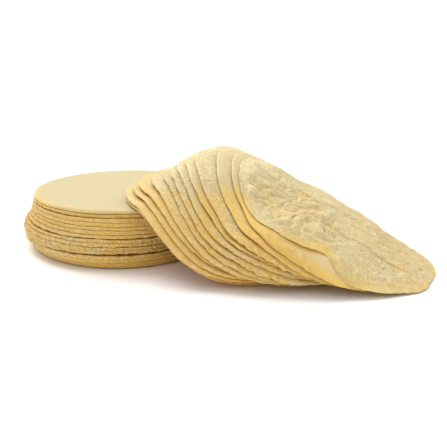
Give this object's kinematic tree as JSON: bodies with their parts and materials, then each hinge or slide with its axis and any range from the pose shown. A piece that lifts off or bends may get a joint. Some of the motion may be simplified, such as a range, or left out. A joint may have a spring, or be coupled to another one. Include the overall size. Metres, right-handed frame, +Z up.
{
  "type": "corn tortilla stack",
  "caption": "Pile of soft corn tortillas: a flat round stack with more tortillas fanned out over its rim and drooping to the table.",
  "frame": {"origin": "middle of the underside of the flat stack, on the table", "axes": "+Z up, the fan slides off the stack towards +X, and its front rims hang down towards -Y"},
  "size_m": [0.3314, 0.2101, 0.087],
  "materials": {
    "flat_tortilla_01_crust": "matt, dry, faintly rough cooked corn dough",
    "flat_tortilla_02_crust": "matt, dry, faintly rough cooked corn dough",
    "flat_tortilla_03_crust": "matt, dry, faintly rough cooked corn dough",
    "flat_tortilla_04_crust": "matt, dry, faintly rough cooked corn dough",
    "flat_tortilla_05_crust": "matt, dry, faintly rough cooked corn dough",
    "flat_tortilla_06_crust": "matt, dry, faintly rough cooked corn dough",
    "flat_tortilla_07_crust": "matt, dry, faintly rough cooked corn dough",
    "flat_tortilla_08_crust": "matt, dry, faintly rough cooked corn dough",
    "flat_tortilla_09_crust": "matt, dry, faintly rough cooked corn dough",
    "flat_tortilla_10_crust": "matt, dry, faintly rough cooked corn dough",
    "flat_tortilla_11_crust": "matt, dry, faintly rough cooked corn dough",
    "flat_tortilla_12_crust": "matt, dry, faintly rough cooked corn dough",
    "flat_tortilla_13_crust": "matt, dry, faintly rough cooked corn dough",
    "flat_tortilla_14_crust": "matt, dry, faintly rough cooked corn dough",
    "flat_tortilla_15_crust": "matt, dry, faintly rough cooked corn dough",
    "fan_tortilla_01_crust": "matt, dry, faintly rough cooked corn dough",
    "fan_tortilla_02_crust": "matt, dry, faintly rough cooked corn dough",
    "fan_tortilla_03_crust": "matt, dry, faintly rough cooked corn dough",
    "fan_tortilla_04_crust": "matt, dry, faintly rough cooked corn dough",
    "fan_tortilla_05_crust": "matt, dry, faintly rough cooked corn dough",
    "fan_tortilla_06_crust": "matt, dry, faintly rough cooked corn dough",
    "fan_tortilla_07_crust": "matt, dry, faintly rough cooked corn dough",
    "fan_tortilla_08_crust": "matt, dry, faintly rough cooked corn dough",
    "fan_tortilla_09_crust": "matt, dry, faintly rough cooked corn dough",
    "fan_tortilla_10_crust": "matt, dry, faintly rough cooked corn dough",
    "fan_tortilla_11_crust": "matt, dry, faintly rough cooked corn dough",
    "fan_tortilla_12_crust": "matt, dry, faintly rough cooked corn dough",
    "fan_tortilla_13_crust": "matt, dry, faintly rough cooked corn dough"
  },
  "bodies": {
    "root": {"flat_tortilla_01": "flat_tortilla_01_crust", "flat_tortilla_02": "flat_tortilla_02_crust", "flat_tortilla_03": "flat_tortilla_03_crust", "flat_tortilla_04": "flat_tortilla_04_crust", "flat_tortilla_05": "flat_tortilla_05_crust", "flat_tortilla_06": "flat_tortilla_06_crust", "flat_tortilla_07": "flat_tortilla_07_crust", "flat_tortilla_08": "flat_tortilla_08_crust", "flat_tortilla_09": "flat_tortilla_09_crust", "flat_tortilla_10": "flat_tortilla_10_crust", "flat_tortilla_11": "flat_tortilla_11_crust", "flat_tortilla_12": "flat_tortilla_12_crust", "flat_tortilla_13": "flat_tortilla_13_crust", "flat_tortilla_14": "flat_tortilla_14_crust", "flat_tortilla_15": "flat_tortilla_15_crust", "fan_tortilla_01": "fan_tortilla_01_crust", "fan_tortilla_02": "fan_tortilla_02_crust", "fan_tortilla_03": "fan_tortilla_03_crust", "fan_tortilla_04": "fan_tortilla_04_crust", "fan_tortilla_05": "fan_tortilla_05_crust", "fan_tortilla_06": "fan_tortilla_06_crust", "fan_tortilla_07": "fan_tortilla_07_crust", "fan_tortilla_08": "fan_tortilla_08_crust", "fan_tortilla_09": "fan_tortilla_09_crust", "fan_tortilla_10": "fan_tortilla_10_crust", "fan_tortilla_11": "fan_tortilla_11_crust", "fan_tortilla_12": "fan_tortilla_12_crust", "fan_tortilla_13": "fan_tortilla_13_crust"}
  },
  "joints": []
}
